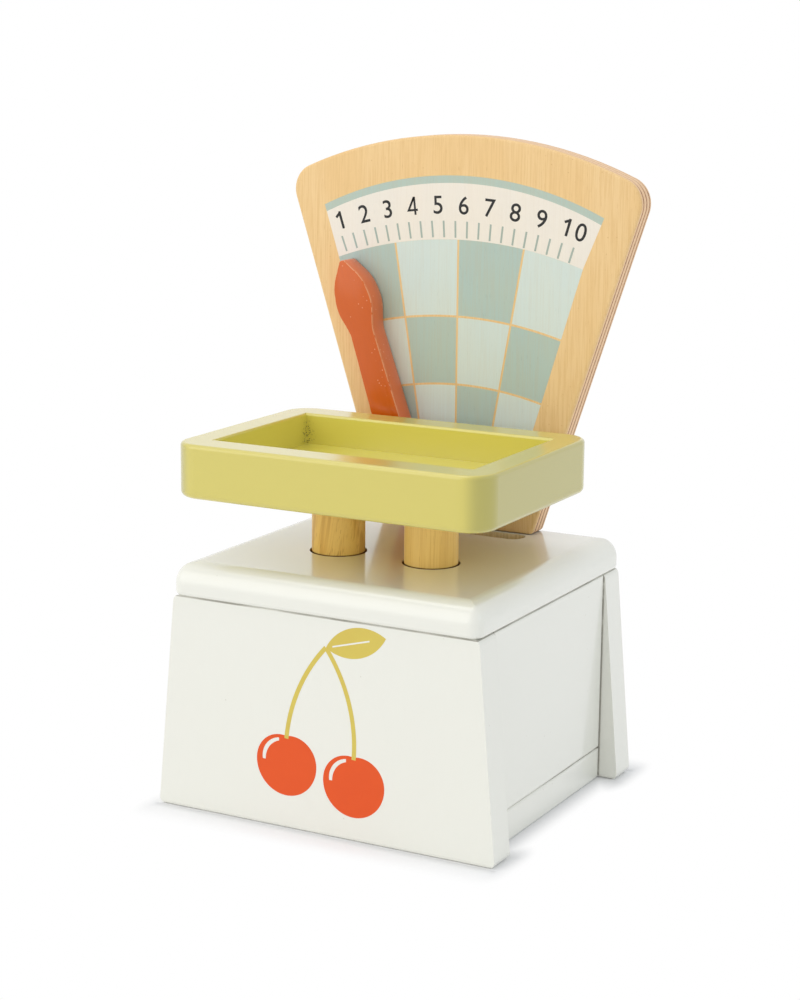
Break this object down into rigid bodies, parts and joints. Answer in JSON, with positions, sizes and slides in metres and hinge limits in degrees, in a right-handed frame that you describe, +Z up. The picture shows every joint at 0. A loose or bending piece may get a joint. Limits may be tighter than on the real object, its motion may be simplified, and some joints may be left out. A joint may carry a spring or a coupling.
{
  "type": "toy market scale",
  "caption": "Wooden toy market scale: pressing the goods tray swings a leaf-headed needle across a numbered fan-shaped dial.",
  "frame": {"origin": "on the floor under the middle of the base box, which is the bottom centre of the whole toy", "axes": "+Z up, +Y towards the back board behind the dial, +X to the right as seen from the front"},
  "size_m": [0.1462, 0.122, 0.2434],
  "materials": {
    "cream_paint": "satin paint over wood",
    "lime_paint": "satin paint over wood",
    "terracotta_paint": "satin paint over wood",
    "dial_plywood": "clear varnished plywood with a printed scale",
    "beech": "clear varnished wood",
    "pine": "bare wood",
    "steel": "zinc plated",
    "felt": "pressed felt"
  },
  "bodies": {
    "base": {"front_board": "cream_paint", "back_board": "cream_paint", "side_panel_left": "cream_paint", "side_panel_right": "cream_paint", "bottom_board": "cream_paint", "lid": "cream_paint", "corner_blocks": "pine", "bottom_screws": "steel", "dial_screws": "steel", "pivot_washer": "steel", "pivot_screw": "steel", "spring_left": "steel", "spring_right": "steel", "lid_dowels": "beech", "pivot_dowel": "beech", "pivot_spacer": "beech", "guide_pegs": "beech", "dial_board": "dial_plywood"},
    "tray": {"tray_rail_front": "lime_paint", "tray_rail_back": "lime_paint", "tray_rail_left": "lime_paint", "tray_rail_right": "lime_paint", "tray_floor": "lime_paint", "post_left": "beech", "post_right": "beech", "crosshead": "pine", "stop_felts": "felt", "drive_block": "beech", "block_screws": "steel", "drive_pin": "steel"},
    "needle": {"needle": "terracotta_paint"}
  },
  "joints": [
    {"name": "tray_press", "type": "slide", "parent": "base", "child": "tray", "axis": [0, 0, -1], "range_m": [0, 0.015], "stiffness_N_per_m": 600, "springref_m": -0.006, "deforming": ["spring_left", "spring_right"]},
    {"name": "needle_swing", "type": "hinge", "parent": "base", "child": "needle", "pos_m": [0, 0.0394, 0.0564], "axis": [0, 1, 0], "range_deg": [0, 37.2]}
  ],
  "couplings": [
    {"joint": "needle_swing", "follows": "tray_press", "rad_per_m": 43.28}
  ]
}
